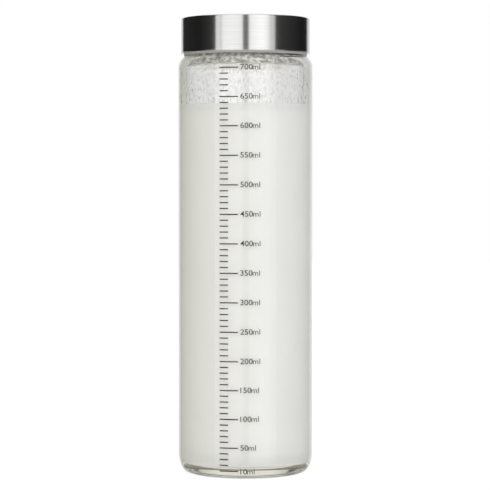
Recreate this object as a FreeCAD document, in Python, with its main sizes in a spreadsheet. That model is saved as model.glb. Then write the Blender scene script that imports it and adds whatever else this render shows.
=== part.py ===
import FreeCAD, Part
import math
import os
import Sketcher
from FreeCAD import Vector

# A 700 ml storage bottle, filled with milk: a straight glass body, a thin steel lid and the plastic
# liner that carries the lid's screw thread. Millimetres, +Z up. The origin is the centre of the ring
# that the bottle stands on.

DIMENSIONS = [
    # glass body
    ("body_diameter", 70.0, "outside of the straight glass body"),
    ("overall_height", 236.8, "foot to the top of the lid"),
    ("wall_thickness", 2.35, "glass of the straight body"),
    ("foot_radius", 5.0, "lower arc of the heel, next to the foot"),
    ("side_radius", 14.9, "upper arc of the heel, next to the body"),
    ("heel_height", 9.8, "where the heel meets the straight body"),
    ("foot_land", 1.2, "width of the flat ring under the bottle"),
    ("push_up", 2.0, "rise of the underside at the axis"),
    ("base_thickness", 4.0, "glass at the axis"),
    ("floor_dome_radius", 340.0, "radius of the raised inner floor"),
    ("inner_heel_radius", 8.0, "corner between inner wall and floor"),
    ("shoulder_radius", 8.0, "outer arc from body to neck"),
    ("neck_gap", 0.45, "height of the slit between liner and shoulder"),
    # neck and thread
    ("neck_wall", 2.6, "glass between thread root and bore"),
    ("neck_fillet", 1.0, "outer fillet between shoulder and neck"),
    ("throat_fillet", 2.0, "inner fillet between shoulder and bore"),
    ("rim_radius", 1.0, "rounding of both edges of the mouth"),
    ("thread_pitch", 4.2, "rise of the thread in one turn"),
    ("thread_turns", 1.5, "turns of the thread"),
    ("thread_drop", 3.2, "mouth rim down to the end of the glass thread"),
    ("thread_height", 1.0, "glass thread, root to crest"),
    ("thread_crest", 1.0, "width of the glass thread at its crest"),
    ("thread_flank", 30.0, "slope of the flanks of both threads, in degrees"),
    ("thread_clearance", 0.3, "crest of the glass thread to the bore of the liner"),
    ("thread_play", 0.1, "gap along the axis between the two threads"),
    ("thread_root", 0.3, "how deep both threads are rooted in their walls"),
    # lid shell
    ("lid_height", 18.4, "height of the steel shell"),
    ("lid_setback", 1.4, "step from the glass body in to the shell"),
    ("lid_corner", 0.7, "outer radius of the shell's top edge"),
    ("shell_thickness", 0.5, "sheet of the shell"),
    ("bead_width", 0.15, "how far the shell's lower edge stands out"),
    ("bead_height", 0.5, "height of that lower edge"),
    ("bead_round", 0.2, "rounding under that lower edge"),
    # lid liner
    ("shell_fit", 0.05, "gap between shell and liner all round"),
    ("liner_wall", 1.55, "plastic between the shell and the bore"),
    ("liner_top", 1.6, "plastic between the mouth rim and the shell"),
    ("liner_thread_height", 0.95, "liner thread, bore to crest"),
    ("liner_thread_crest", 0.8, "width of the liner thread at its crest"),
    ("skirt_step", 1.0, "step in from the liner's wall to its skirt"),
    ("skirt_reveal", 0.95, "height of the skirt that shows under the shell"),
    ("skirt_lead", 0.15, "chamfer inside the lower edge of the skirt"),
    ("skirt_round", 0.15, "rounding outside the lower edge of the skirt"),
    # milk
    ("headspace", 46.5, "mouth rim down to the level of the milk"),
]

# Derived sizes, written as expressions over the sheet, from the outside in and from the top down.
BODY_RADIUS = "dims.body_diameter / 2"
INNER_RADIUS = f"({BODY_RADIUS} - dims.wall_thickness)"
SHELL_RADIUS = f"({BODY_RADIUS} - dims.lid_setback)"
SHELL_BORE = f"({SHELL_RADIUS} - dims.shell_thickness)"
BEAD_RADIUS = f"({SHELL_RADIUS} + dims.bead_width)"
LINER_RADIUS = f"({SHELL_BORE} - dims.shell_fit)"
SKIRT_RADIUS = f"({LINER_RADIUS} - dims.skirt_step)"
HEM_RADIUS = f"({SKIRT_RADIUS} + dims.shell_fit)"
LINER_BORE = f"({LINER_RADIUS} - dims.liner_wall)"
CREST_RADIUS = f"({LINER_BORE} - dims.thread_clearance)"
NECK_RADIUS = f"({CREST_RADIUS} - dims.thread_height)"
MOUTH_RADIUS = f"({NECK_RADIUS} - dims.neck_wall)"
LINER_CREST = f"({LINER_BORE} - dims.liner_thread_height)"

SHELL_UNDERSIDE = "(dims.overall_height - dims.shell_thickness)"
RIM_LEVEL = f"({SHELL_UNDERSIDE} - dims.liner_top)"
MILK_LEVEL = f"({RIM_LEVEL} - dims.headspace)"
SHELL_BOTTOM = "(dims.overall_height - dims.lid_height)"
BEAD_LEVEL = f"({SHELL_BOTTOM} + dims.bead_height)"
HEM_LEVEL = f"({SHELL_BOTTOM} + dims.shell_thickness)"
SKIRT_BOTTOM = f"({SHELL_BOTTOM} - dims.skirt_reveal)"
FLOOR_LEVEL = "(dims.push_up + dims.base_thickness)"

# The slit between skirt and glass is measured at the skirt's outer radius, on the shoulder's arc.
SHOULDER_AXIS = f"({BODY_RADIUS} - dims.shoulder_radius)"
SHOULDER_RISE = f"sqrt(dims.shoulder_radius ^ 2 - ({SKIRT_RADIUS} - {SHOULDER_AXIS}) ^ 2)"
SHOULDER_LEVEL = f"({SKIRT_BOTTOM} - dims.neck_gap - {SHOULDER_RISE})"
INNER_SHOULDER = "(dims.shoulder_radius - dims.wall_thickness)"

# The liner's thread hangs under the glass thread: half of each thread where they overlap, and the play.
FLANK_SLOPE = "tan(dims.thread_flank * 1 deg)"
THREAD_START = f"({RIM_LEVEL} - dims.thread_drop - dims.thread_turns * dims.thread_pitch)"
THREAD_OVERLAP = f"({CREST_RADIUS} - {LINER_CREST})"
THREAD_OFFSET = (
    f"((dims.thread_crest + dims.liner_thread_crest) / 2"
    f" + {THREAD_OVERLAP} * {FLANK_SLOPE} + dims.thread_play)"
)
LINER_THREAD_START = f"({THREAD_START} - {THREAD_OFFSET})"

START, END, CENTRE = 1, 2, 3      # the points of a sketched edge
ORIGIN = (-1, START)              # the sketch's own origin
X_AXIS, Z_AXIS = -1, -2           # the sketch's own axes
TOUCH = 1e-6                      # two points closer than this are one


def make_sheet(doc):
    """The driving dimensions, one row each: what it is, its value, its alias."""
    sheet = doc.addObject("Spreadsheet::Sheet", "dims")
    for row, (alias, value, meaning) in enumerate(DIMENSIONS, start=1):
        sheet.set(f"A{row}", meaning)
        sheet.set(f"B{row}", str(value))
        sheet.setAlias(f"B{row}", alias)
    doc.recompute()


def origin_feature(body, role):
    return next(item for item in body.Origin.OriginFeatures if item.Role == role)


class Outline:
    """A closed outline in a body's XZ plane, drawn edge by edge from where the pen stands."""

    def __init__(self, body, name):
        self.sketch = body.newObject("Sketcher::SketchObject", name)
        self.sketch.AttachmentSupport = [(origin_feature(body, "XZ_Plane"), "")]
        self.sketch.MapMode = "FlatFace"
        self.pen = None
        self.edges = []

    def value(self, expression):
        return float(self.sketch.evalExpression(expression))

    def move_to(self, x, z):
        self.pen = (x, z)

    def line_to(self, x, z):
        edge = self.sketch.addGeometry(Part.LineSegment(Vector(*self.pen, 0), Vector(x, z, 0)))
        self.edges.append((edge, START, END))
        self.pen = (x, z)
        return edge

    def arc_to(self, x, z, centre):
        """An arc about centre to the point (x, z), the short way round."""
        leave = math.atan2(self.pen[1] - centre[1], self.pen[0] - centre[0])
        arrive = math.atan2(z - centre[1], x - centre[0])
        circle = Part.Circle(Vector(*centre, 0), Vector(0, 0, 1), math.dist(self.pen, centre))
        if math.sin(arrive - leave) > 0:
            edge = self.sketch.addGeometry(Part.ArcOfCircle(circle, leave, arrive))
            self.edges.append((edge, START, END))
        else:
            edge = self.sketch.addGeometry(Part.ArcOfCircle(circle, arrive, leave))
            self.edges.append((edge, END, START))
        self.pen = (x, z)
        return edge

    def join(self, corners):
        """Close the outline: a corner after each edge in corners, a smooth joint after the others."""
        followers = self.edges[1:] + self.edges[:1]
        for (edge, _, last), (follower, first, _) in zip(self.edges, followers):
            kind = "Coincident" if edge in corners else "Tangent"
            self.hold(kind, edge, last, follower, first)

    def hold(self, kind, *points):
        self.sketch.addConstraint(Sketcher.Constraint(kind, *points))

    def bind(self, kind, *points, to):
        """A constraint with a size, which follows the expression to."""
        constraint = Sketcher.Constraint(kind, *points, self.value(to))
        number = self.sketch.addConstraint(constraint)
        self.sketch.setExpression(f"Constraints[{number}]", to)

    def radius(self, edge, expression):
        self.bind("Radius", edge, to=expression)

    def x(self, edge, point, expression):
        self.bind("DistanceX", *ORIGIN, edge, point, to=expression)

    def z(self, edge, point, expression):
        self.bind("DistanceY", *ORIGIN, edge, point, to=expression)


def touching_point(centre, radius, other_centre, other_radius):
    """The point of the first circle where another circle touches it from outside."""
    share = radius / (radius + other_radius)
    return tuple(a + (b - a) * share for a, b in zip(centre, other_centre))


def revolve(body, outline):
    """One full turn of the outline about Z."""
    turned = body.newObject("PartDesign::Revolution", outline.sketch.Name + "_turned")
    turned.Profile = outline.sketch
    turned.ReferenceAxis = (origin_feature(body, "Z_Axis"), [""])
    turned.Angle = 360


def draw_polygon(outline, corners):
    """Straight edges round the corners, each an (x, z) pair of expressions that hold it in place."""
    points = [(outline.value(x), outline.value(z)) for x, z in corners]
    outline.move_to(*points[-1])
    edges = [outline.line_to(*point) for point in points]
    outline.join(corners=edges)
    for edge, (x, z) in zip(edges, corners):
        outline.x(edge, END, x)
        outline.z(edge, END, z)


def round_edge(body, name, radius, x, z):
    """Fillet the circular edge at the distance x from the axis and the height z, both expressions."""
    body.Document.recompute()
    solid = body.Tip
    ring = (body.evalExpression(x), body.evalExpression(z))
    names = [
        f"Edge{number}"
        for number, edge in enumerate(solid.Shape.Edges, start=1)
        if isinstance(edge.Curve, Part.Circle)
        and math.dist((edge.Curve.Radius, edge.Curve.Center.z), ring) < TOUCH
    ]
    fillet = body.newObject("PartDesign::Fillet", name)
    fillet.Base = (solid, names)
    fillet.setExpression("Radius", radius)


def add_thread(body, name, root, crest, crest_width, start):
    """A ridge of trapezoid section from the radius root to crest, wound up from the height start."""
    half_crest = f"({crest_width} / 2)"
    half_root = f"({half_crest} + abs({crest} - {root}) * {FLANK_SLOPE})"
    corners = [
        (root, f"{start} - {half_root}"),
        (crest, f"{start} - {half_crest}"),
        (crest, f"{start} + {half_crest}"),
        (root, f"{start} + {half_root}"),
    ]
    outline = Outline(body, name)
    draw_polygon(outline, corners)
    wound = body.newObject("PartDesign::AdditiveHelix", name + "_wound")
    wound.Profile = outline.sketch
    wound.ReferenceAxis = (origin_feature(body, "Z_Axis"), [""])
    wound.Mode = "pitch-turns-angle"
    wound.setExpression("Pitch", "dims.thread_pitch")
    wound.setExpression("Turns", "dims.thread_turns")


def draw_foot(outline):
    """From the axis out: raised underside, foot ring, and the heel of two arcs."""
    value = outline.value
    foot_radius = value("dims.foot_radius")
    side_radius = value("dims.side_radius")
    side_centre = (value(BODY_RADIUS) - side_radius, value("dims.heel_height"))
    centre_drop = side_centre[1] - foot_radius
    centre_reach = math.sqrt((side_radius - foot_radius) ** 2 - centre_drop ** 2)
    foot_centre = (side_centre[0] + centre_reach, foot_radius)
    stretch = side_radius / (side_radius - foot_radius)
    heel_joint = [a + (b - a) * stretch for a, b in zip(side_centre, foot_centre)]
    ring_inside = foot_centre[0] - value("dims.foot_land")
    rise = value("dims.push_up")
    dome_radius = (ring_inside ** 2 + rise ** 2) / (2 * rise)

    outline.move_to(0, rise)
    underside = outline.arc_to(ring_inside, 0, (0, rise - dome_radius))
    ring = outline.line_to(foot_centre[0], 0)
    foot = outline.arc_to(*heel_joint, foot_centre)
    side = outline.arc_to(value(BODY_RADIUS), side_centre[1], side_centre)
    outline.hold("PointOnObject", underside, CENTRE, Z_AXIS)
    outline.hold("PointOnObject", ring, START, X_AXIS)
    outline.hold("Horizontal", ring)
    outline.bind("DistanceX", ring, START, ring, END, to="dims.foot_land")
    outline.radius(foot, "dims.foot_radius")
    outline.radius(side, "dims.side_radius")
    outline.z(side, CENTRE, "dims.heel_height")
    return underside


def draw_floor(outline):
    """Down the inner wall, round the inner heel and over the raised floor to the axis."""
    value = outline.value
    heel_radius = value("dims.inner_heel_radius")
    dome_radius = value("dims.floor_dome_radius")
    dome_centre = (0, value(FLOOR_LEVEL) - dome_radius)
    heel_x = value(INNER_RADIUS) - heel_radius
    heel_z = dome_centre[1] + math.sqrt((dome_radius + heel_radius) ** 2 - heel_x ** 2)
    heel_centre = (heel_x, heel_z)
    heel_joint = touching_point(heel_centre, heel_radius, dome_centre, dome_radius)

    wall = outline.line_to(value(INNER_RADIUS), heel_z)
    heel = outline.arc_to(*heel_joint, heel_centre)
    dome = outline.arc_to(0, value(FLOOR_LEVEL), dome_centre)
    outline.hold("Vertical", wall)
    outline.x(wall, END, INNER_RADIUS)
    outline.radius(heel, "dims.inner_heel_radius")
    outline.radius(dome, "dims.floor_dome_radius")
    outline.hold("PointOnObject", dome, CENTRE, Z_AXIS)
    outline.z(dome, END, FLOOR_LEVEL)
    return dome


def shoulder_points(outline, arc_radius, neck_radius, fillet_radius):
    """Centres of a shoulder's arc and of the fillet above it, and where the two meet."""
    value = outline.value
    centre = (value(SHOULDER_AXIS), value(SHOULDER_LEVEL))
    fillet_x = value(neck_radius) + value(fillet_radius)
    reach = value(arc_radius) + value(fillet_radius)
    fillet_z = centre[1] + math.sqrt(reach ** 2 - (fillet_x - centre[0]) ** 2)
    fillet_centre = (fillet_x, fillet_z)
    joint = touching_point(centre, value(arc_radius), fillet_centre, value(fillet_radius))
    return centre, fillet_centre, joint


def draw_outer_shoulder(outline):
    """Up the straight wall, over the shoulder and through the fillet to the neck."""
    centre, fillet_centre, joint = shoulder_points(
        outline, "dims.shoulder_radius", NECK_RADIUS, "dims.neck_fillet"
    )
    wall = outline.line_to(outline.value(BODY_RADIUS), centre[1])
    shoulder = outline.arc_to(*joint, centre)
    fillet = outline.arc_to(outline.value(NECK_RADIUS), fillet_centre[1], fillet_centre)
    outline.hold("Vertical", wall)
    outline.x(wall, START, BODY_RADIUS)
    outline.radius(shoulder, "dims.shoulder_radius")
    outline.z(shoulder, CENTRE, SHOULDER_LEVEL)
    outline.radius(fillet, "dims.neck_fillet")


def draw_inner_shoulder(outline):
    """Down the bore, round the throat and under the shoulder to the inner wall."""
    centre, fillet_centre, joint = shoulder_points(
        outline, INNER_SHOULDER, MOUTH_RADIUS, "dims.throat_fillet"
    )
    bore = outline.line_to(outline.value(MOUTH_RADIUS), fillet_centre[1])
    throat = outline.arc_to(*joint, fillet_centre)
    shoulder = outline.arc_to(outline.value(INNER_RADIUS), centre[1], centre)
    outline.hold("Vertical", bore)
    outline.x(bore, START, MOUTH_RADIUS)
    outline.radius(throat, "dims.throat_fillet")
    outline.radius(shoulder, INNER_SHOULDER)
    outline.z(shoulder, CENTRE, SHOULDER_LEVEL)


def draw_rim(outline):
    """Up the neck and over the rounded mouth rim, on which the liner seals."""
    rounding = outline.value("dims.rim_radius")
    neck_x = outline.value(NECK_RADIUS)
    mouth_x = outline.value(MOUTH_RADIUS)
    rim_z = outline.value(RIM_LEVEL)
    edge_z = rim_z - rounding
    neck = outline.line_to(neck_x, edge_z)
    outer_edge = outline.arc_to(neck_x - rounding, rim_z, (neck_x - rounding, edge_z))
    rim = outline.line_to(mouth_x + rounding, rim_z)
    inner_edge = outline.arc_to(mouth_x, edge_z, (mouth_x + rounding, edge_z))
    outline.hold("Vertical", neck)
    outline.x(neck, END, NECK_RADIUS)
    outline.hold("Horizontal", rim)
    outline.z(rim, START, RIM_LEVEL)
    outline.radius(outer_edge, "dims.rim_radius")
    outline.radius(inner_edge, "dims.rim_radius")


def draw_axis(outline, height, expression):
    """Along the axis to the given height, back to where the outline began."""
    axis = outline.line_to(0, height)
    outline.hold("PointOnObject", axis, START, Z_AXIS)
    outline.hold("Vertical", axis)
    outline.z(axis, END, expression)
    return axis


def make_bottle(doc):
    """The glass: foot, heel, straight wall, shoulder, threaded neck and mouth, one hollow solid."""
    body = doc.addObject("PartDesign::Body", "bottle")
    outline = Outline(body, "glass_profile")
    underside = draw_foot(outline)
    draw_outer_shoulder(outline)
    draw_rim(outline)
    draw_inner_shoulder(outline)
    dome = draw_floor(outline)
    axis = draw_axis(outline, outline.value("dims.push_up"), "dims.push_up")
    outline.join(corners=[underside, dome, axis])
    revolve(body, outline)
    root = f"({NECK_RADIUS} - dims.thread_root)"
    add_thread(body, "glass_thread", root, CREST_RADIUS, "dims.thread_crest", THREAD_START)
    return body


def make_milk(doc):
    """The milk: it fills the body from the floor to its level, wall to wall."""
    body = doc.addObject("PartDesign::Body", "milk")
    outline = Outline(body, "milk_profile")
    level_z = outline.value(MILK_LEVEL)
    outline.move_to(0, level_z)
    level = outline.line_to(outline.value(INNER_RADIUS), level_z)
    dome = draw_floor(outline)
    axis = draw_axis(outline, level_z, MILK_LEVEL)
    outline.hold("Horizontal", level)
    outline.join(corners=[level, dome, axis])
    revolve(body, outline)
    return body


def make_lid_shell(doc):
    """The drawn steel shell: flat top, rounded edge, straight wall, and a beaded hem turned inward."""
    body = doc.addObject("PartDesign::Body", "lid_shell")
    outline = Outline(body, "shell_profile")
    draw_polygon(outline, [
        ("0", "dims.overall_height"),
        (SHELL_RADIUS, "dims.overall_height"),
        (SHELL_RADIUS, BEAD_LEVEL),
        (BEAD_RADIUS, f"{BEAD_LEVEL} - dims.bead_width"),
        (BEAD_RADIUS, SHELL_BOTTOM),
        (HEM_RADIUS, SHELL_BOTTOM),
        (HEM_RADIUS, HEM_LEVEL),
        (SHELL_BORE, HEM_LEVEL),
        (SHELL_BORE, SHELL_UNDERSIDE),
        ("0", SHELL_UNDERSIDE),
    ])
    revolve(body, outline)
    inner_corner = "dims.lid_corner - dims.shell_thickness"
    round_edge(body, "top_edge", "dims.lid_corner", SHELL_RADIUS, "dims.overall_height")
    round_edge(body, "inner_edge", inner_corner, SHELL_BORE, SHELL_UNDERSIDE)
    round_edge(body, "bead_edge", "dims.bead_round", BEAD_RADIUS, SHELL_BOTTOM)
    return body


def make_lid_liner(doc):
    """The plastic liner: a disc on the mouth rim, a threaded wall, and the skirt below the shell."""
    body = doc.addObject("PartDesign::Body", "lid_liner")
    outline = Outline(body, "liner_profile")
    draw_polygon(outline, [
        ("0", SHELL_UNDERSIDE),
        (LINER_RADIUS, SHELL_UNDERSIDE),
        (LINER_RADIUS, HEM_LEVEL),
        (SKIRT_RADIUS, HEM_LEVEL),
        (SKIRT_RADIUS, SKIRT_BOTTOM),
        (f"{LINER_BORE} + dims.skirt_lead", SKIRT_BOTTOM),
        (LINER_BORE, f"{SKIRT_BOTTOM} + dims.skirt_lead"),
        (LINER_BORE, RIM_LEVEL),
        ("0", RIM_LEVEL),
    ])
    revolve(body, outline)
    round_edge(body, "top_edge", "dims.lid_corner", LINER_RADIUS, SHELL_UNDERSIDE)
    thin = f"({SKIRT_RADIUS} - {LINER_BORE}) / 3"
    round_edge(body, "skirt_edge", f"min(dims.skirt_round; {thin})", SKIRT_RADIUS, SKIRT_BOTTOM)
    root = f"({LINER_BORE} + dims.thread_root)"
    crest_width = "dims.liner_thread_crest"
    add_thread(body, "liner_thread", root, LINER_CREST, crest_width, LINER_THREAD_START)
    return body


def check(doc, bodies):
    """Every object computed, every sketch fully held, and every body one valid solid."""
    for item in doc.Objects:
        if "Invalid" in item.State or "Error" in item.State:
            raise RuntimeError(f"{item.Name} failed: {item.State}")
        if item.TypeId == "Sketcher::SketchObject" and not item.FullyConstrained:
            raise RuntimeError(f"{item.Name} is not fully constrained")
    for body in bodies:
        if body.Shape.isNull() or not body.Shape.isValid() or len(body.Shape.Solids) != 1:
            raise RuntimeError(f"{body.Label} is not one valid solid")


def main():
    doc = FreeCAD.newDocument("milk_bottle")
    make_sheet(doc)
    bodies = [make_bottle(doc), make_milk(doc), make_lid_shell(doc), make_lid_liner(doc)]
    doc.recompute()
    check(doc, bodies)
    os.makedirs("parts", exist_ok=True)
    for body in bodies:
        body.Placement = FreeCAD.Placement(Vector(0, 0, 0), FreeCAD.Rotation())
        body.Shape.exportStep(f"parts/{body.Label}.step")
        print(f"{body.Label}: {body.Shape.Volume / 1000:.2f} cm3")


main()
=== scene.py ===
import math
import random

import bmesh
import bpy
import numpy as np
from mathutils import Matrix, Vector, noise


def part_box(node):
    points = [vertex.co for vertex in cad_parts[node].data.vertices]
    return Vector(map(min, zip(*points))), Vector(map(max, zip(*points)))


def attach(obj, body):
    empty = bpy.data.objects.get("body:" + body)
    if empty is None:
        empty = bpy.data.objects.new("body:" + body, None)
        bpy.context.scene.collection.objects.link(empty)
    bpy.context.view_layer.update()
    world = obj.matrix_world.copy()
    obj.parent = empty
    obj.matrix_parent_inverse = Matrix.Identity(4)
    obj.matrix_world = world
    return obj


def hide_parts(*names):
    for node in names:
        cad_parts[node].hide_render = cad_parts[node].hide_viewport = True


# The looks of a tall glass bottle of milk with a printed scale and a thin steel lid.
# Metres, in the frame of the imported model: the axis is Z, the printed scale faces -Y.

MM = 0.001
SEED = 7


# ---------------------------------------------------------------- frame

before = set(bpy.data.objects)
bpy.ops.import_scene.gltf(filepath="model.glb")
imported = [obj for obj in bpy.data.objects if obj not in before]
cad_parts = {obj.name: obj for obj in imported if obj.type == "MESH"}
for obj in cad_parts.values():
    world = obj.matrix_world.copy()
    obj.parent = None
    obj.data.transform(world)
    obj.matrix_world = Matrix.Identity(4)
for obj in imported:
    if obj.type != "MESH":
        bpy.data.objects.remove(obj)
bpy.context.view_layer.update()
bottle_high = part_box("bottle")[1]
milk_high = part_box("milk")[1]

BODY_RADIUS = bottle_high.x
INNER_RADIUS = milk_high.x
RIM_LEVEL = bottle_high.z
MILK_LEVEL = milk_high.z

# Sizes of the glass that a box doesn't give.
FOOT_RADIUS = 5.0 * MM
SIDE_RADIUS = 14.9 * MM
HEEL_HEIGHT = 9.8 * MM
FOOT_LAND = 1.2 * MM
PUSH_UP = 2.0 * MM
BASE_THICKNESS = 4.0 * MM
FLOOR_DOME_RADIUS = 340 * MM
INNER_HEEL_RADIUS = 8.0 * MM
SHOULDER_RADIUS = 8.0 * MM
SHOULDER_LEVEL = 210.795 * MM
NECK_RADIUS = 30.2 * MM
NECK_FILLET = 1.0 * MM
MOUTH_RADIUS = 27.6 * MM
THROAT_FILLET = 2.0 * MM
RIM_ROUNDING = 1.0 * MM

SEGMENTS = 240           # facets round each turned piece
RIPPLE_ROUND = 1.3       # pattern of the unevenness: radius of the wall in noise cells
RIPPLE_RISE = 22         # and noise cells for each metre up it
RIPPLE_DEPTH = 0.03 * MM
MILK_REACH = 0.12 * MM   # how far the milk goes into the glass
RING_REACH = 0.14 * MM   # the band above it goes a little further


# ---------------------------------------------------------------- meshes

def new_object(name, mesh):
    """Link a piece to the scene and let it ride on the one body."""
    piece = bpy.data.objects.new(name, mesh)
    bpy.context.scene.collection.objects.link(piece)
    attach(piece, "root")
    return piece


def arc(centre, radius, first, last, steps):
    """Points on an arc in the (r, z) half plane, from the angle first to last in degrees."""
    angles = [math.radians(first + (last - first) * i / steps) for i in range(steps + 1)]
    return [(centre[0] + radius * math.cos(a), centre[1] + radius * math.sin(a)) for a in angles]


def ruled(first, last, step):
    """Points along a straight line, about step apart, without its first point."""
    count = max(1, round(math.dist(first, last) / step))
    return [
        tuple(a + (b - a) * i / count for a, b in zip(first, last)) for i in range(1, count + 1)
    ]


def lathe(name, outline, closed, smooth_angle=35, segments=SEGMENTS, ripple=None):
    """Turn an outline of (r, z) points about Z. Points on the axis become one vertex."""
    bm = bmesh.new()
    rings = []
    for r, z in outline:
        if r < 1e-7:
            rings.append([bm.verts.new((0, 0, z))])
            continue
        ring = []
        for i in range(segments):
            a = 2 * math.pi * i / segments
            grow = ripple(a, z) if ripple else 0
            ring.append(bm.verts.new(((r + grow) * math.cos(a), (r + grow) * math.sin(a), z)))
        rings.append(ring)
    pairs = list(zip(rings, rings[1:]))
    if closed:
        pairs.append((rings[-1], rings[0]))
    for low, high in pairs:
        if len(low) == 1 and len(high) == 1:
            continue
        for i in range(segments):
            j = (i + 1) % segments
            corners = [low[i % len(low)], low[j % len(low)], high[j % len(high)], high[i % len(high)]]
            unique = list(dict.fromkeys(corners))
            bm.faces.new(unique)
    bmesh.ops.recalc_face_normals(bm, faces=bm.faces)
    mesh = bpy.data.meshes.new(name)
    bm.to_mesh(mesh)
    bm.free()
    mesh.shade_smooth()
    mesh.set_sharp_from_angle(angle=math.radians(smooth_angle))
    return mesh


def touching_angle(centre, other):
    return math.degrees(math.atan2(other[1] - centre[1], other[0] - centre[0]))


def heel_outline():
    """Underside, foot ring and the heel of two arcs, from the axis out to the wall."""
    side_centre = (BODY_RADIUS - SIDE_RADIUS, HEEL_HEIGHT)
    reach = math.sqrt((SIDE_RADIUS - FOOT_RADIUS) ** 2 - (HEEL_HEIGHT - FOOT_RADIUS) ** 2)
    foot_centre = (side_centre[0] + reach, FOOT_RADIUS)
    turn = touching_angle(side_centre, foot_centre)
    ring_inside = foot_centre[0] - FOOT_LAND
    dome = (ring_inside ** 2 + PUSH_UP ** 2) / (2 * PUSH_UP)
    edge = math.degrees(math.asin(ring_inside / dome))
    points = arc((0, PUSH_UP - dome), dome, 90, 90 - edge, 12)
    points += arc(foot_centre, FOOT_RADIUS, -90, turn, 14)
    points += arc(side_centre, SIDE_RADIUS, turn, 0, 12)[1:]
    return points


def shoulder_outline(radius, neck_x, fillet):
    """Shoulder arc and the fillet above it, from the wall up to the neck."""
    centre = (BODY_RADIUS - SHOULDER_RADIUS, SHOULDER_LEVEL)
    fillet_x = neck_x + fillet
    fillet_z = centre[1] + math.sqrt((radius + fillet) ** 2 - (fillet_x - centre[0]) ** 2)
    turn = touching_angle(centre, (fillet_x, fillet_z))
    return arc(centre, radius, 0, turn, 16) + arc((fillet_x, fillet_z), fillet, turn + 180, 180, 8)[1:]


def floor_outline(grow):
    """Inner wall foot, heel and raised floor down to the axis, grown outward into the glass."""
    heel = INNER_HEEL_RADIUS
    dome_centre = (0, PUSH_UP + BASE_THICKNESS - FLOOR_DOME_RADIUS)
    heel_x = INNER_RADIUS - heel
    heel_z = dome_centre[1] + math.sqrt((FLOOR_DOME_RADIUS + heel) ** 2 - heel_x ** 2)
    turn = touching_angle((heel_x, heel_z), dome_centre)
    points = arc((heel_x, heel_z), heel + grow, 0, turn, 14)
    points += arc(dome_centre, FLOOR_DOME_RADIUS - grow, turn + 180, 90, 12)[1:]
    return points


def glass_ripple(angle, z):
    """The slight unevenness of a blown wall."""
    spot = Vector((math.cos(angle) * RIPPLE_ROUND, math.sin(angle) * RIPPLE_ROUND, z * RIPPLE_RISE))
    return noise.noise(spot) * RIPPLE_DEPTH


def make_glass():
    """The bottle itself, as one closed turned wall."""
    wall_step = 4 * MM
    outline = heel_outline()
    shoulder = shoulder_outline(SHOULDER_RADIUS, NECK_RADIUS, NECK_FILLET)
    outline += ruled(outline[-1], shoulder[0], wall_step) + shoulder[1:]
    rim_edge = RIM_LEVEL - RIM_ROUNDING
    outline += ruled(outline[-1], (NECK_RADIUS, rim_edge), wall_step)
    outline += arc((NECK_RADIUS - RIM_ROUNDING, rim_edge), RIM_ROUNDING, 0, 90, 6)[1:]
    outline += arc((MOUTH_RADIUS + RIM_ROUNDING, rim_edge), RIM_ROUNDING, 90, 180, 6)
    throat = shoulder_outline(INNER_RADIUS - BODY_RADIUS + SHOULDER_RADIUS, MOUTH_RADIUS, THROAT_FILLET)
    throat.reverse()
    outline += ruled(outline[-1], throat[0], wall_step) + throat[1:]
    floor = floor_outline(0)
    outline += ruled(outline[-1], floor[0], wall_step) + floor[1:]
    piece = new_object("glass_body", lathe("glass_body", outline, closed=False, ripple=glass_ripple))
    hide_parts("bottle")
    return piece


def make_milk():
    """The milk, which reaches a little into the glass so that no air shows between them."""
    outline = [(0, MILK_LEVEL)] + ruled((0, MILK_LEVEL), (INNER_RADIUS + MILK_REACH, MILK_LEVEL), 3 * MM)
    floor = floor_outline(MILK_REACH)
    outline += ruled(outline[-1], floor[0], 6 * MM) + floor[1:]
    piece = new_object("milk_fill", lathe("milk_fill", outline, closed=False))
    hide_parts("milk")
    return piece


# ---------------------------------------------------------------- wet film above the milk

RING_TOP = MILK_LEVEL + 3.6 * MM     # edge of the milk that still clings to the wall
RING_BLEND = 1.2 * MM                # depth over which it takes on the look of the full milk
FILM_LOW = MILK_LEVEL + 3.2 * MM
FILM_STEP = 0.33 * MM                # grid of the film's inner face
FILM_COLUMNS = 720
FILM_BURIED = 0.05 * MM              # how far its outer face reaches into the glass
FILM_BASE = 0.06 * MM                # thickness between the drops
OUTER_ROWS = 5                       # the buried face has one row for so many of the inner face
HAZE_REACH = (0.08 * MM, 0.12 * MM)  # where the haze lies in the wall, outside the film
HAZE_END = 45                        # degrees up the shoulder
WAVES_FROM, WAVES_FULL = 1.5, 4.5    # mm up the shoulder: where the drops run together into waves
WAVES_ROUND = 26                     # pattern of the waves: radius of the wall in noise cells
WAVES_RISE = 1.1                     # and noise cells for each mm up it
WAVE_MEAN, WAVE_DEPTH = 0.08 * MM, 0.2 * MM
BACK_SPLASH = 0.2                    # height of the drops under the shoulder at the back, from the front's 1


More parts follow.
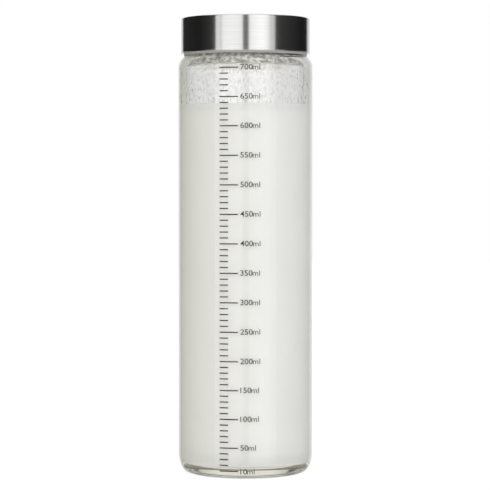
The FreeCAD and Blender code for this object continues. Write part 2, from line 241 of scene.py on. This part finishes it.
def make_ring():
    """The band of milk left on the wall just above the level, with its small meniscus."""
    wall = INNER_RADIUS + RING_REACH
    profile = [
        (wall, MILK_LEVEL - RING_BLEND),
        (INNER_RADIUS - 1.6 * MM, MILK_LEVEL - RING_BLEND),
        (INNER_RADIUS - 1.5 * MM, MILK_LEVEL + 0.02 * MM),
        (INNER_RADIUS - 0.8 * MM, MILK_LEVEL + 0.18 * MM),
        (INNER_RADIUS - 0.38 * MM, MILK_LEVEL + 0.6 * MM),
        (INNER_RADIUS - 0.24 * MM, MILK_LEVEL + 1.3 * MM),
        (INNER_RADIUS - 0.2 * MM, MILK_LEVEL + 2.4 * MM),
        (INNER_RADIUS - 0.2 * MM, RING_TOP - 0.25 * MM),
        (INNER_RADIUS - 0.12 * MM, RING_TOP - 0.05 * MM),
        (INNER_RADIUS, RING_TOP),
        (wall, RING_TOP),
    ]
    piece = new_object("milk_ring", lathe("milk_ring", profile, closed=True, smooth_angle=60))
    return piece


def film_path():
    """Evenly spaced (r, z) points up the inner wall and under the shoulder, with the way inward."""
    corner = INNER_RADIUS - BODY_RADIUS + SHOULDER_RADIUS
    line = [(INNER_RADIUS, FILM_LOW), (INNER_RADIUS, SHOULDER_LEVEL)]
    line += shoulder_outline(corner, MOUTH_RADIUS, THROAT_FILLET)[1:]
    line = np.array(line)
    run = np.concatenate([[0], np.cumsum(np.hypot(*np.diff(line, axis=0).T))])
    at = np.linspace(0, run[-1], int(run[-1] / FILM_STEP) + 1)
    points = np.stack([np.interp(at, run, line[:, k]) for k in (0, 1)], axis=1)
    along = np.gradient(points, axis=0)
    along /= np.linalg.norm(along, axis=1)[:, None]
    inward = np.stack([-along[:, 1], along[:, 0]], axis=1)
    return at, points, inward


def add_drops(height, at, around, rng, count, place, width, stretch, rise):
    """Raise rounded drops on the grid.

    place is a range in mm along the film, width one of half widths in mm, stretch of length to
    width, and rise of height to half width.
    """
    pitch = around[1] - around[0]
    turn = around[-1] + pitch
    for _ in range(count):
        centre_a = rng.uniform(0, turn)
        centre_s = rng.triangular(*place) * MM
        a = rng.uniform(*width) * MM
        b = a * rng.uniform(*stretch)
        top = a * rng.uniform(*rise)
        lean = rng.uniform(-0.25, 0.25)
        rows = np.nonzero(np.abs(at - centre_s) < b)[0]
        if not len(rows):
            continue
        reach = int(a * 1.6 / pitch) + 2
        columns = np.arange(int(centre_a / pitch) - reach, int(centre_a / pitch) + reach + 1)
        up = (at[rows, None] - centre_s) / b
        side = (columns[None, :] * pitch - centre_a) / a - lean * up
        cap = top * np.clip(1 - up ** 2 - side ** 2, 0, None) ** 0.8
        spot = np.ix_(rows, columns % len(around))
        height[spot] = np.maximum(height[spot], cap)


def film_heights(at, columns):
    """Thickness of the film: small drops and runs, closer together and deeper near the shoulder."""
    rng = random.Random(SEED)
    around = np.arange(columns) * (2 * math.pi * INNER_RADIUS / columns)
    height = np.zeros((len(at), columns))
    wall = (SHOULDER_LEVEL - FILM_LOW) / MM
    end = at[-1] / MM
    drops = (       # count, (lowest, highest, likeliest) place, half width, stretch, rise
        (2200, (0, wall + 1, wall * 0.6), (0.34, 0.6), (0.9, 1.7), (0.02, 0.06)),
        (420, (0.5, wall, wall * 0.6), (0.36, 0.5), (1.2, 2.8), (0.27, 0.44)),
        (1100, (wall + 1.5, end, wall + 4), (0.4, 0.8), (0.8, 1.4), (0.1, 0.28)),
    )
    for count, place, width, stretch, rise in drops:
        add_drops(height, at, around, rng, count, place, width, stretch, rise)
    waves = np.zeros_like(height)
    for i, s in enumerate(at):
        grow = min(1, max(0, (s / MM - wall - WAVES_FROM) / (WAVES_FULL - WAVES_FROM)))
        if grow == 0:
            continue
        for j, a in enumerate(around):
            turn = a / INNER_RADIUS
            spot = Vector((math.cos(turn) * WAVES_ROUND, math.sin(turn) * WAVES_ROUND, s / MM * WAVES_RISE))
            waves[i, j] = grow * (WAVE_MEAN + WAVE_DEPTH * noise.noise(spot))
    splashed = BACK_SPLASH + (1 - BACK_SPLASH) * np.clip(0.5 - np.sin(around / INNER_RADIUS), 0, 1)
    splashed = 1 + (splashed - 1) * np.clip((at / MM - wall) / WAVES_FROM, 0, 1)[:, None]
    return FILM_BASE + (height + np.clip(waves, 0, None)) * splashed


def make_film():
    """Condensed drops and runs on the inside of the wall, one closed thin shell of water."""
    at, points, inward = film_path()
    rise = film_heights(at, FILM_COLUMNS)
    fade = np.clip(np.minimum(at, at[-1] - at) / (0.8 * MM), 0.15, 1)[:, None]
    rise = rise * fade
    outer = list(range(0, len(at), OUTER_ROWS))
    if outer[-1] != len(at) - 1:
        outer.append(len(at) - 1)
    turn = 2 * math.pi * np.arange(FILM_COLUMNS) / FILM_COLUMNS
    r_in = points[:, :1] + inward[:, :1] * rise
    z_in = points[:, 1:] + inward[:, 1:] * rise
    r_out = np.repeat(points[outer, :1] - inward[outer, :1] * FILM_BURIED, FILM_COLUMNS, axis=1)
    z_out = np.repeat(points[outer, 1:] - inward[outer, 1:] * FILM_BURIED, FILM_COLUMNS, axis=1)
    r = np.concatenate([r_in, r_out[::-1]])
    z = np.concatenate([z_in, z_out[::-1]])
    places = np.stack([r * np.cos(turn), r * np.sin(turn), z], axis=2).reshape(-1, 3)
    rows, columns = r.shape
    low = np.arange(rows)[:, None] * columns
    high = (np.arange(rows)[:, None] + 1) % rows * columns
    this = np.arange(columns)[None, :]
    after = (this + 1) % columns
    quads = np.stack([low + this, high + this, high + after, low + after], axis=2).reshape(-1, 4)
    mesh = bpy.data.meshes.new("wet_film")
    mesh.from_pydata(places.tolist(), [], quads.tolist())
    mesh.shade_smooth()
    mesh.set_sharp_from_angle(angle=math.radians(70))
    piece = new_object("wet_film", mesh)
    return piece


def make_haze():
    """The breath of dried milk behind the film, which shows where the wall is seen on edge."""
    near, far = HAZE_REACH
    corner = INNER_RADIUS - BODY_RADIUS + SHOULDER_RADIUS
    centre = (BODY_RADIUS - SHOULDER_RADIUS, SHOULDER_LEVEL)
    outline = [(INNER_RADIUS + far, RING_TOP)] + arc(centre, corner + far, 0, HAZE_END, 10)
    outline += arc(centre, corner + near, HAZE_END, 0, 10) + [(INNER_RADIUS + near, RING_TOP)]
    piece = new_object("milk_haze", lathe("milk_haze", outline, closed=True))
    return piece


# ---------------------------------------------------------------- materials

LIQUID_TO_GLASS = 0.9                # refraction of milk seen from inside the glass
MIRROR_LEVEL = 9.0 * MM              # the base and the heel's inside lie below it
HEEL_PAINTED_SHADE = (6.9 * MM, 5.1 * MM)    # painted shade: the milk's colour darkens from one height to the other, where it lies over the thick glass of the heel
BRUSH_DENSITY = 3500                 # noise cells for each metre across the scratches
SPLASH_RISE = (SHOULDER_LEVEL + 0.2 * MM, SHOULDER_LEVEL + 1.7 * MM)   # the film turns milky between them
SPLASH_DEPTH = (20 * MM, -10 * MM)   # and less so towards the back: Y where it begins and where it is full
HAZE_DEPTH = (1 * MM, -2 * MM)       # the same for the haze, which is on the front half alone
HAZE_SEEN, HAZE_FULL = 0.208, 0.228  # how far from square on it is seen, as 1 less the cosine
LINER_GLOW = 0.3                     # share of the light that passes through the liner
PALER_TOP = 0.008                    # how far the print has turned to the milk's colour at its level


def math_node(tree, operation, *values):
    node = tree.nodes.new("ShaderNodeMath")
    node.operation = operation
    for socket, value in zip(node.inputs, values):
        if isinstance(value, bpy.types.NodeSocket):
            tree.links.new(value, socket)
        else:
            socket.default_value = value
    return node.outputs[0]


def map_range(tree, value, low, high, kind="LINEAR"):
    node = tree.nodes.new("ShaderNodeMapRange")
    node.interpolation_type = kind
    node.inputs["From Min"].default_value = low
    node.inputs["From Max"].default_value = high
    tree.links.new(value, node.inputs["Value"])
    return node.outputs["Result"]


def mix_colours(tree, share, first, second):
    """first where share is 0, second where it is 1; each a socket or a grey level."""
    node = tree.nodes.new("ShaderNodeMix")
    node.data_type = "RGBA"
    tree.links.new(share, node.inputs["Factor"])
    for name, value in (("A", first), ("B", second)):
        if isinstance(value, bpy.types.NodeSocket):
            tree.links.new(value, node.inputs[name])
        else:
            node.inputs[name].default_value = value if isinstance(value, tuple) else (value,) * 3 + (1,)
    return node.outputs["Result"]


def mix_shaders(tree, share, first, second):
    """first where share is 0, second where it is 1; share is a socket or a number."""
    mix = tree.nodes.new("ShaderNodeMixShader")
    if isinstance(share, bpy.types.NodeSocket):
        tree.links.new(share, mix.inputs["Fac"])
    else:
        mix.inputs["Fac"].default_value = share
    tree.links.new(first.outputs[0], mix.inputs[1])
    tree.links.new(second.outputs[0], mix.inputs[2])
    return mix


def place_sockets(tree, kind="Object"):
    """X, Y and Z: of the place on the object, or of the direction for the world's Generated."""
    place = tree.nodes.new("ShaderNodeTexCoord")
    split = tree.nodes.new("ShaderNodeSeparateXYZ")
    tree.links.new(place.outputs[kind], split.inputs[0])
    return split.outputs["X"], split.outputs["Y"], split.outputs["Z"]


def height_socket(tree):
    """Height above the floor, fixed to the object."""
    return place_sockets(tree)[2]


def show_surface(tree, shader):
    tree.links.new(shader.outputs[0], tree.nodes["Material Output"].inputs["Surface"])


def principled(name, **values):
    """A Principled material with its sockets set by name, with spaces written as underscores."""
    material = bpy.data.materials.new(name)
    material.use_nodes = True
    shader = material.node_tree.nodes["Principled BSDF"]
    for key, value in values.items():
        shader.inputs[key.replace("_", " ")].default_value = value
    return material, material.node_tree, shader


def glass_material():
    material, tree, shader = principled(
        "clear_glass", Base_Color=(1, 1, 1, 1), Roughness=0.0, IOR=1.5, Transmission_Weight=1.0
    )
    absorb = tree.nodes.new("ShaderNodeVolumeAbsorption")
    absorb.inputs["Color"].default_value = (0.57, 0.555, 0.33, 1)
    absorb.inputs["Density"].default_value = 10.0
    output = tree.nodes["Material Output"]
    tree.links.new(absorb.outputs["Volume"], output.inputs["Volume"])
    return material


def noise_node(tree, scale, detail=2.0, stretch=(1, 1, 1)):
    """A noise pattern fixed to the object, scale in cycles for each metre."""
    place = tree.nodes.new("ShaderNodeTexCoord")
    mapping = tree.nodes.new("ShaderNodeMapping")
    mapping.inputs["Scale"].default_value = stretch
    pattern = tree.nodes.new("ShaderNodeTexNoise")
    pattern.inputs["Scale"].default_value = scale
    pattern.inputs["Detail"].default_value = detail
    tree.links.new(place.outputs["Object"], mapping.inputs["Vector"])
    tree.links.new(mapping.outputs["Vector"], pattern.inputs["Vector"])
    return pattern.outputs["Fac"]


def ramp_node(tree, value, stops):
    """Colours over a value, from stops of (position, colour)."""
    ramp = tree.nodes.new("ShaderNodeValToRGB")
    elements = ramp.color_ramp.elements
    while len(elements) > 1:
        elements.remove(elements[-1])
    for i, (position, colour) in enumerate(stops):
        element = elements[0] if i == 0 else elements.new(position)
        element.position = position
        element.color = (*colour, 1)
    tree.links.new(value, ramp.inputs["Fac"])
    return ramp.outputs["Color"]


def mirrored_below(tree, shader, level):
    """Where the milk lies on the glass base it mirrors rays that graze it, as a thinner medium does."""
    mirror = tree.nodes.new("ShaderNodeBsdfAnisotropic")
    mirror.inputs["Roughness"].default_value = 0.0
    mirror.inputs["Color"].default_value = (1, 1, 1, 1)
    edge = tree.nodes.new("ShaderNodeFresnel")
    edge.inputs["IOR"].default_value = LIQUID_TO_GLASS
    low = map_range(tree, height_socket(tree), level, level - 1 * MM)
    share = math_node(tree, "MULTIPLY", edge.outputs[0], low)
    show_surface(tree, mix_shaders(tree, share, shader, mirror))


def milk_material():
    material, tree, shader = principled("milk", Roughness=0.5, Specular_IOR_Level=0.0)
    cloud = noise_node(tree, 45)
    colour = ramp_node(tree, cloud, [(0.3, (0.975, 0.972, 0.958)), (0.7, (0.99, 0.988, 0.975))])
    # painted shade: towards the foot the milk's colour turns dark olive, standing in for the shade and tint
    # of the thick glass heel
    low = map_range(tree, height_socket(tree), *HEEL_PAINTED_SHADE)
    colour = mix_colours(tree, low, colour, (0.45, 0.42, 0.33, 1))
    tree.links.new(colour, shader.inputs["Base Color"])
    mirrored_below(tree, shader, MIRROR_LEVEL)
    return material


def ring_material():
    """Thinner milk on the wall: greyer, with faint spots."""
    material, tree, shader = principled("milk_ring", Roughness=0.5, Specular_IOR_Level=0.0)
    spots = noise_node(tree, 420, 3.0, (1, 1, 1.4))
    thin = ramp_node(
        tree, spots, [(0.34, (0.91, 0.91, 0.905)), (0.45, (0.945, 0.945, 0.94)), (0.7, (0.955, 0.955, 0.95))]
    )
    full = map_range(tree, height_socket(tree), MILK_LEVEL + 0.3 * MM, MILK_LEVEL - RING_BLEND)
    colour = mix_colours(tree, full, thin, (0.983, 0.98, 0.967, 1))
    tree.links.new(colour, shader.inputs["Base Color"])
    return material


def film_material():
    """Water with a trace of milk in it, more of it in the runs under the shoulder."""
    material, tree, shader = principled("wet_film", Roughness=0.0, IOR=1.33)
    shader.inputs["Specular Tint"].default_value = (0.1, 0.1, 0.1, 1)
    spots = noise_node(tree, 850, 3.0, (1, 1, 0.6))
    clear = map_range(tree, spots, 0.36, 0.5)
    clear = math_node(tree, "MULTIPLY_ADD", clear, 0.11, 0.88)
    _, depth, height = place_sockets(tree)
    splashed = map_range(tree, height, *SPLASH_RISE, "SMOOTHSTEP")
    runs = map_range(tree, noise_node(tree, 420, 3.0, (1, 1, 1.8)), 0.38, 0.6)
    runs = math_node(tree, "MULTIPLY_ADD", runs, 0.6, 0.3)
    near = map_range(tree, depth, *SPLASH_DEPTH)
    near = math_node(tree, "MULTIPLY_ADD", near, 0.85, 0.15)
    milky = math_node(tree, "MULTIPLY", math_node(tree, "MULTIPLY", splashed, runs), near)
    clear = math_node(tree, "MULTIPLY", clear, math_node(tree, "SUBTRACT", 1.0, milky))
    tree.links.new(clear, shader.inputs["Transmission Weight"])
    colour = mix_colours(tree, splashed, (1, 1, 1, 1), (0.97, 0.96, 0.91, 1))
    tree.links.new(colour, shader.inputs["Base Color"])
    return material


def haze_material():
    """White on the front half, which covers little where it is seen square on, and nearly all on edge."""
    material, tree, shader = principled("milk_haze", Roughness=0.6, Specular_IOR_Level=0.0)
    cloud = noise_node(tree, 60)
    colour = ramp_node(tree, cloud, [(0.3, (0.975, 0.973, 0.965)), (0.7, (0.99, 0.989, 0.983))])
    tree.links.new(colour, shader.inputs["Base Color"])
    edge = tree.nodes.new("ShaderNodeLayerWeight")
    cover = ramp_node(tree, edge.outputs["Facing"], [(HAZE_SEEN, (0, 0, 0)), (HAZE_FULL, (0.92,) * 3)])
    holes = map_range(tree, noise_node(tree, 420, 2.0, (1, 1, 0.5)), 0.33, 0.4)
    front = map_range(tree, place_sockets(tree)[1], *HAZE_DEPTH)
    share = math_node(tree, "MULTIPLY", cover, math_node(tree, "MULTIPLY_ADD", holes, 0.8, 0.2))
    share = math_node(tree, "MULTIPLY", share, front)
    clear = tree.nodes.new("ShaderNodeBsdfTransparent")
    show_surface(tree, mix_shaders(tree, share, clear, shader))
    return material


def brushing(tree):
    """Fine scratches round the axis, on the wall and on the top alike."""
    x, y, z = place_sockets(tree)
    squares = math_node(tree, "ADD", math_node(tree, "MULTIPLY", x, x), math_node(tree, "MULTIPLY", y, y))
    radius = math_node(tree, "MAXIMUM", math_node(tree, "SQRT", squares), 1e-5)
    across = tree.nodes.new("ShaderNodeCombineXYZ")
    parts = (
        math_node(tree, "MULTIPLY_ADD", radius, BRUSH_DENSITY, math_node(tree, "DIVIDE", x, radius)),
        math_node(tree, "DIVIDE", y, radius),
        math_node(tree, "MULTIPLY", z, BRUSH_DENSITY),
    )
    for value, socket in zip(parts, across.inputs):
        tree.links.new(value, socket)
    pattern = tree.nodes.new("ShaderNodeTexNoise")
    pattern.inputs["Scale"].default_value = 1.0
    pattern.inputs["Detail"].default_value = 4.0
    tree.links.new(across.outputs[0], pattern.inputs["Vector"])
    return pattern.outputs["Fac"]


def add_bump(tree, shader, value, strength, distance):
    bump = tree.nodes.new("ShaderNodeBump")
    bump.inputs["Strength"].default_value = strength
    bump.inputs["Distance"].default_value = distance
    tree.links.new(value, bump.inputs["Height"])
    tree.links.new(bump.outputs[0], shader.inputs["Normal"])


def steel_material():
    material, tree, shader = principled("lid_steel", Metallic=1.0)
    lines = brushing(tree)
    colour = ramp_node(tree, lines, [(0.3, (0.58, 0.58, 0.57)), (0.7, (0.66, 0.66, 0.65))])
    tree.links.new(colour, shader.inputs["Base Color"])
    rough = math_node(tree, "MULTIPLY_ADD", lines, 0.12, 0.07)
    tree.links.new(rough, shader.inputs["Roughness"])
    add_bump(tree, shader, lines, 0.15, 0.01 * MM)
    return material


def liner_material():
    """Moulded plastic that lets a little light through."""
    material, tree, shader = principled("liner_plastic", Roughness=0.4)
    grain = noise_node(tree, 900, 3.0)
    colour = ramp_node(tree, grain, [(0.3, (0.52, 0.52, 0.505)), (0.7, (0.58, 0.58, 0.565))])
    tree.links.new(colour, shader.inputs["Base Color"])
    add_bump(tree, shader, grain, 0.2, 0.02 * MM)
    through = tree.nodes.new("ShaderNodeBsdfTranslucent")
    tree.links.new(colour, through.inputs["Color"])
    show_surface(tree, mix_shaders(tree, LINER_GLOW, shader, through))
    return material


def ink_material():
    """Dark grey print, a little thinner in places and paler towards the top."""
    material, tree, shader = principled("printed_ink", Roughness=0.6, Specular_IOR_Level=0.1)
    cover = noise_node(tree, 1500, 2.0)
    dark = ramp_node(tree, cover, [(0.3, (0.034, 0.032, 0.025)), (0.7, (0.018, 0.017, 0.013))])
    paler = math_node(tree, "MULTIPLY", map_range(tree, height_socket(tree), 0, MILK_LEVEL), PALER_TOP)
    colour = mix_colours(tree, paler, dark, (0.95, 0.93, 0.86, 1))
    tree.links.new(colour, shader.inputs["Base Color"])
    return material


def dress(piece, material):
    piece.data.materials.clear()
    piece.data.materials.append(material)


# ---------------------------------------------------------------- printed scale

# Heights of some marks as (ml, mm). The ones between are evenly spaced, a little closer at the
# two ends of the scale than in the middle.
SCALE_HEIGHTS = ((10, 4.4), (50, 16.2), (100, 30.85), (200, 60.3), (600, 180.15), (700, 209.75))
LEFT_EDGE = -22.0                    # degrees round the glass from -Y
SHORT_END = -14.6
LONG_END = -6.2
LABEL_START = -4.2
DIGIT_HEIGHT = 2.9 * MM
LABEL_RISE = 0.33 * MM               # above the mark, but for the lowest
LETTER_SIZE = DIGIT_HEIGHT / 0.73    # the built-in font's digits are 0.73 of its size high
LETTER_WIDTH = 1.1
LETTER_GAP = 0.1                     # degrees between the number and its unit
DIGIT_BOLD, UNIT_BOLD = 0.003, -0.002   # how far the outlines move outward, as a share of the size
MARK_THICKNESS = 0.58 * MM
INK_LOW, INK_HIGH = 0.015 * MM, 0.04 * MM


def scale_height(volume):
    """Height of the mark for a volume in ml."""
    for (v0, z0), (v1, z1) in zip(SCALE_HEIGHTS, SCALE_HEIGHTS[1:]):
        if volume <= v1:
            return (z0 + (z1 - z0) * (volume - v0) / (v1 - v0)) * MM


def on_glass(angle, z, lift):
    """A point on the glass: angle in degrees to the right of -Y."""
    a = math.radians(angle)
    r = BODY_RADIUS + lift
    return Vector((r * math.sin(a), -r * math.cos(a), z))


def add_mark(bm, first, last, z):
    """One printed line round the glass, as a thin closed strip."""
    steps = 6
    rings = []
    for i in range(steps + 1):
        angle = first + (last - first) * i / steps
        ring = [
            bm.verts.new(on_glass(angle, z + dz, lift))
            for dz, lift in (
                (-MARK_THICKNESS / 2, INK_LOW),
                (-MARK_THICKNESS / 2, INK_HIGH),
                (MARK_THICKNESS / 2, INK_HIGH),
                (MARK_THICKNESS / 2, INK_LOW),
            )
        ]
        rings.append(ring)
    for a, b in zip(rings, rings[1:]):
        for k in range(4):
            bm.faces.new((a[k], a[(k + 1) % 4], b[(k + 1) % 4], b[k]))
    bm.faces.new(rings[0])
    bm.faces.new(rings[-1][::-1])


def make_marks():
    bm = bmesh.new()
    for volume in range(10, 701, 10):
        long_mark = volume == 10 or volume % 50 == 0
        z = scale_height(volume)
        add_mark(bm, LEFT_EDGE, LONG_END if long_mark else SHORT_END, z)
    bmesh.ops.recalc_face_normals(bm, faces=bm.faces)
    mesh = bpy.data.meshes.new("scale_marks")
    bm.to_mesh(mesh)
    bm.free()
    piece = new_object("scale_marks", mesh)
    return piece


def label_mesh(text, bold):
    """The built-in font's letters as a flat mesh in metres, lower left corner at the origin."""
    curve = bpy.data.curves.new("label", "FONT")
    curve.body = text
    curve.size = 1
    curve.offset = bold
    curve.resolution_u = 4
    holder = bpy.data.objects.new("label", curve)
    bpy.context.scene.collection.objects.link(holder)
    bpy.context.view_layer.update()
    mesh = bpy.data.meshes.new_from_object(holder)
    bpy.data.objects.remove(holder)
    bpy.data.curves.remove(curve)
    return mesh


def make_labels():
    bm = bmesh.new()
    for volume in [10] + list(range(50, 701, 50)):
        z = scale_height(volume) + (LABEL_RISE if volume > 10 else 0)
        start = LABEL_START
        for text, bold in ((str(volume), DIGIT_BOLD), ("ml", UNIT_BOLD)):
            flat = label_mesh(text, bold)
            left = min(v.co.x for v in flat.vertices)
            for v in flat.vertices:
                across = (v.co.x - left) * LETTER_SIZE * LETTER_WIDTH
                up = v.co.y * LETTER_SIZE - DIGIT_HEIGHT / 2
                v.co = on_glass(start + math.degrees(across / BODY_RADIUS), z + up, INK_HIGH)
            right = max(v.co.x for v in flat.vertices)
            start = math.degrees(math.asin(right / (BODY_RADIUS + INK_HIGH))) + LETTER_GAP
            bm.from_mesh(flat)
            bpy.data.meshes.remove(flat)
    mesh = bpy.data.meshes.new("scale_numbers")
    bm.to_mesh(mesh)
    bm.free()
    piece = new_object("scale_numbers", mesh)
    return piece


# ---------------------------------------------------------------- studio

FLOOR_RADIUS = 3.0
FLOOR_DROP = -0.02 * MM              # just under the foot, so that the two faces don't share a plane
FLOOR_GREY = 0.85
FLOOR_GLOW = 1.08                    # strength of the floor's own light where the camera sees it
FLOOR_GLOW_SHARE = 0.82              # the rest is lit by the studio and keeps the shadow


def make_floor():
    """Pale floor, which looks white to the camera and still takes the bottle's shadow."""
    bm = bmesh.new()
    bmesh.ops.create_circle(bm, cap_ends=True, segments=96, radius=FLOOR_RADIUS)
    mesh = bpy.data.meshes.new("floor")
    bm.to_mesh(mesh)
    bm.free()
    floor = bpy.data.objects.new("floor", mesh)
    bpy.context.scene.collection.objects.link(floor)
    floor.location.z = FLOOR_DROP
    floor.visible_glossy = False
    material = bpy.data.materials.new("floor")
    material.use_nodes = True
    tree = material.node_tree
    tree.nodes.clear()
    output = tree.nodes.new("ShaderNodeOutputMaterial")
    diffuse = tree.nodes.new("ShaderNodeBsdfDiffuse")
    diffuse.inputs["Color"].default_value = (FLOOR_GREY, FLOOR_GREY, FLOOR_GREY, 1)
    glow = tree.nodes.new("ShaderNodeEmission")
    glow.inputs["Strength"].default_value = FLOOR_GLOW
    rays = tree.nodes.new("ShaderNodeLightPath")
    seen = math_node(tree, "MAXIMUM", rays.outputs["Is Camera Ray"], rays.outputs["Is Transmission Ray"])
    share = math_node(tree, "MULTIPLY", seen, FLOOR_GLOW_SHARE)
    tree.links.new(mix_shaders(tree, share, diffuse, glow).outputs[0], output.inputs["Surface"])
    mesh.materials.append(material)


# The studio round the bottle: stops of (degrees to the right of the camera's side, strength).
# Two soft boxes stand in front with a narrow gap between them, dark flags at the sides, and a
# white backdrop behind.
STUDIO = [
    (-180, 0.94), (-163, 0.97), (-149.5, 0.62), (-148.5, 0.03), (-90, 0.018), (-66, 0.04),
    (-54.8, 0.09), (-53.8, 1.15), (-49, 1.12), (-43.5, 0.9), (-41, 1.33), (-25, 1.42), (-8, 1.33),
    (-4.9, 1.25), (-3.9, 0.19), (5.3, 0.19), (6.3, 1.35), (20, 1.5), (30, 1.6), (40, 1.4),
    (43, 1.1), (46, 0.9), (53.5, 0.85), (54.5, 0.09), (67, 0.05), (120, 0.016), (142.8, 0.025),
    (143.8, 0.55), (154, 0.78), (164, 0.95), (180, 0.94),
]
# What reaches the milk and the other matt pieces is softer: the same boxes, spread by the room.
ROOM = [
    (-180, 1.5), (-149, 1.5), (-143, 0.6), (-57, 0.6), (-51, 1.3), (-44, 1.3), (-38, 1.56),
    (0, 2.52), (39, 2.52), (45, 1.5), (51, 1.4), (57, 0.7), (134, 0.7), (140, 1.5), (180, 1.5),
]
ROOM_WARM = (-143, -57)                 # between these the room's light has less blue
WARM_BLUE = 0.7
RAMP_WHITE = 2.6                        # strength that a ramp's white stands for
BACKDROP = 1.0                          # strength of what the camera sees behind the floor
OVERHEAD = 1.0                          # strength of the ceiling
OVERHEAD_FROM, OVERHEAD_FULL = 0.72, 0.86      # height of the ceiling's edge, as a sine
GROUND = 1.0
GROUND_FROM, GROUND_FULL = -0.30, -0.42        # below this a reflection sees the pale floor


def azimuth_ramp(tree, azimuth, stops, warm=()):
    """Brightness round the horizon from the stops, as a share of RAMP_WHITE; less blue at warm angles."""
    colours = []
    for angle, strength in stops:
        level = strength / RAMP_WHITE
        blue = level * (WARM_BLUE if angle in warm else 1)
        colours.append(((angle + 180) / 360, (level, level, blue)))
    return ramp_node(tree, azimuth, colours)


def make_world():
    """White behind the object for the camera, the studio in glass and steel, the room on matt pieces."""
    world = bpy.data.worlds.new("studio")
    bpy.context.scene.world = world
    world.use_nodes = True
    tree = world.node_tree
    tree.nodes.clear()
    output = tree.nodes.new("ShaderNodeOutputWorld")
    background = tree.nodes.new("ShaderNodeBackground")
    background.inputs["Strength"].default_value = RAMP_WHITE
    tree.links.new(background.outputs[0], output.inputs["Surface"])
    right, back, height = place_sockets(tree, "Generated")
    around = math_node(tree, "ARCTAN2", right, math_node(tree, "MULTIPLY", back, -1.0))
    azimuth = map_range(tree, around, -math.pi, math.pi)
    ceiling = map_range(tree, height, OVERHEAD_FROM, OVERHEAD_FULL, "SMOOTHSTEP")
    ground = map_range(tree, height, GROUND_FROM, GROUND_FULL, "SMOOTHSTEP")
    studio = mix_colours(tree, ceiling, azimuth_ramp(tree, azimuth, STUDIO), OVERHEAD / RAMP_WHITE)
    studio = mix_colours(tree, ground, studio, GROUND / RAMP_WHITE)
    room = azimuth_ramp(tree, azimuth, ROOM, ROOM_WARM)
    rays = tree.nodes.new("ShaderNodeLightPath")
    scattered = math_node(tree, "GREATER_THAN", rays.outputs["Diffuse Depth"], 0.5)
    colour = mix_colours(tree, scattered, studio, room)
    colour = mix_colours(tree, rays.outputs["Is Camera Ray"], colour, BACKDROP / RAMP_WHITE)
    tree.links.new(colour, background.inputs["Color"])


CAMERA_PLACE = (-0.21 * MM, -1129 * MM, 151.26 * MM)
CAMERA_TILT = math.radians(1.6522)      # downward
CAMERA_LENS = 158.56                    # mm, on a sensor 36 mm wide


def make_camera():
    data = bpy.data.cameras.new("camera")
    data.sensor_width = 36
    data.lens = CAMERA_LENS
    data.clip_start = 0.01
    data.clip_end = 20
    camera = bpy.data.objects.new("camera", data)
    bpy.context.scene.collection.objects.link(camera)
    camera.location = CAMERA_PLACE
    camera.rotation_euler = (math.pi / 2 - CAMERA_TILT, 0, 0)
    bpy.context.scene.camera = camera


# ---------------------------------------------------------------- assembly

make_camera()
glass = make_glass()
milk = make_milk()
ring = make_ring()
film = make_film()
haze = make_haze()
marks = make_marks()
numbers = make_labels()
dress(glass, glass_material())
dress(milk, milk_material())
dress(ring, ring_material())
dress(film, film_material())
dress(haze, haze_material())
ink = ink_material()
dress(marks, ink)
dress(numbers, ink)
dress(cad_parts["lid_shell"], steel_material())
dress(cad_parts["lid_liner"], liner_material())
make_floor()
make_world()
bpy.context.scene.view_settings.view_transform = "Standard"
